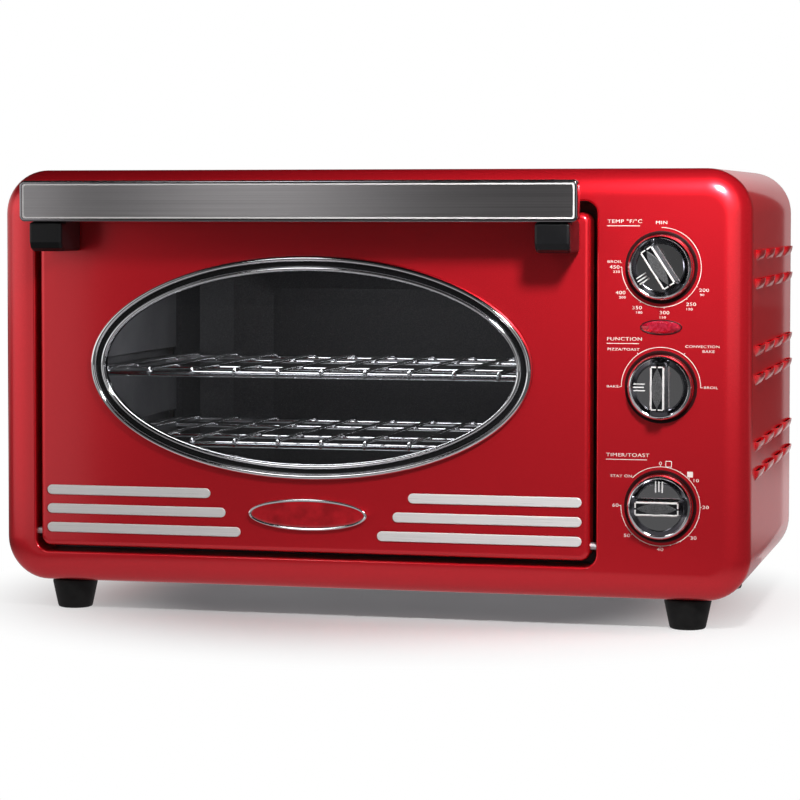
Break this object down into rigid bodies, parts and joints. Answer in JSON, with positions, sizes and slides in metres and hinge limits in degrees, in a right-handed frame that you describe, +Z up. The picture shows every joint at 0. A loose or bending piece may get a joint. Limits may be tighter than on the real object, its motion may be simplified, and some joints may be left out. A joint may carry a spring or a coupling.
{
  "type": "countertop electric oven",
  "caption": "Countertop convection oven with a drop-down door, oval window, bar handle, side dials and pull-out wire racks.",
  "frame": {"origin": "middle of the overall footprint, on the surface the feet stand on", "axes": "+X to the right of someone facing the door, +Y from the door to the back, +Z up"},
  "size_m": [0.5058, 0.3474, 0.295],
  "materials": {
    "red_paint": "glossy metallic red paint",
    "chrome": "polished",
    "brushed": "brushed lengthways",
    "zinc_steel": "dull zinc plate",
    "rod_steel": "heat-greyed sheath",
    "dark_liner": "dark satin coating",
    "black_plastic": "black, lightly polished",
    "motor_steel": "black enamel",
    "rubber": "matt",
    "glass": "smoked, clear",
    "lamp_glass": "clear",
    "ruby_lens": "clear ruby",
    "silver": "satin"
  },
  "bodies": {
    "housing": {"back_cover": "zinc_steel", "base_plate": "zinc_steel", "cavity_back": "dark_liner", "cavity_floor": "dark_liner", "cavity_left_wall": "dark_liner", "cavity_right_wall": "dark_liner", "cavity_roof": "dark_liner", "control_plate": "zinc_steel", "cord_gland": "black_plastic", "crumb_tray": "zinc_steel", "face_frame": "dark_liner", "fan_housing": "zinc_steel", "fan_motor": "motor_steel", "foot_front_left": "rubber", "foot_front_right": "rubber", "foot_rear_left": "rubber", "foot_rear_right": "rubber", "front_bezel": "red_paint", "function_switch": "black_plastic", "heating_rod_lower_front": "rod_steel", "heating_rod_lower_rear": "rod_steel", "heating_rod_upper_front": "rod_steel", "heating_rod_upper_rear": "rod_steel", "hinge_plate_left": "zinc_steel", "hinge_plate_right": "zinc_steel", "housing_wrap": "red_paint", "pilot_lamp": "lamp_glass", "pilot_lens": "ruby_lens", "thermostat": "zinc_steel", "timer_movement": "zinc_steel"},
    "door": {"door_panel": "red_paint", "door_liner": "dark_liner", "door_glass": "glass", "window_seat_ring": "black_plastic", "window_inner_bead": "chrome", "window_outer_bead": "chrome", "stripe_left_1": "silver", "stripe_left_2": "silver", "stripe_left_3": "silver", "stripe_right_1": "silver", "stripe_right_2": "silver", "stripe_right_3": "silver", "badge_plate": "chrome", "handle_frame": "chrome", "handle_plate": "brushed", "handle_bracket_left": "black_plastic", "handle_bracket_right": "black_plastic", "hinge_pin_left": "zinc_steel", "hinge_pin_right": "zinc_steel"},
    "temperature_dial": {"temperature_knob": "black_plastic", "temperature_shaft": "zinc_steel"},
    "function_dial": {"function_knob": "black_plastic", "function_shaft": "zinc_steel"},
    "timer_dial": {"timer_knob": "black_plastic", "timer_shaft": "zinc_steel"},
    "lower_rack": {"rack_lower": "chrome"},
    "upper_rack": {"rack_upper": "chrome"},
    "fan": {"convection_fan": "zinc_steel"}
  },
  "joints": [
    {"name": "door_hinge", "type": "hinge", "parent": "housing", "child": "door", "pos_m": [-0.037, -0.12525, 0.0535], "axis": [1, 0, 0], "range_deg": [0, 90]},
    {"name": "temperature_turn", "type": "hinge", "parent": "housing", "child": "temperature_dial", "pos_m": [0.1936, -0.13075, 0.2323], "axis": [0, 1, 0], "range_deg": [-237, 33]},
    {"name": "function_turn", "type": "hinge", "parent": "housing", "child": "function_dial", "pos_m": [0.1936, -0.13075, 0.1565], "axis": [0, 1, 0], "range_deg": [0, 180]},
    {"name": "timer_turn", "type": "hinge", "parent": "housing", "child": "timer_dial", "pos_m": [0.1936, -0.13075, 0.0807], "axis": [0, 1, 0], "range_deg": [-45, 270]},
    {"name": "lower_rack_slide", "type": "slide", "parent": "housing", "child": "lower_rack", "axis": [0, -1, 0], "range_m": [0, 0.104]},
    {"name": "upper_rack_slide", "type": "slide", "parent": "housing", "child": "upper_rack", "axis": [0, -1, 0], "range_m": [0, 0.176]},
    {"name": "fan_spin", "type": "hinge", "parent": "housing", "child": "fan", "pos_m": [0.1452, 0.01525, 0.212], "axis": [1, 0, 0], "continuous": true}
  ],
  "couplings": [
    {"joint": "lower_rack_slide", "follows": "door_hinge", "m_per_rad": 0.066},
    {"joint": "upper_rack_slide", "follows": "door_hinge", "m_per_rad": 0.112}
  ]
}
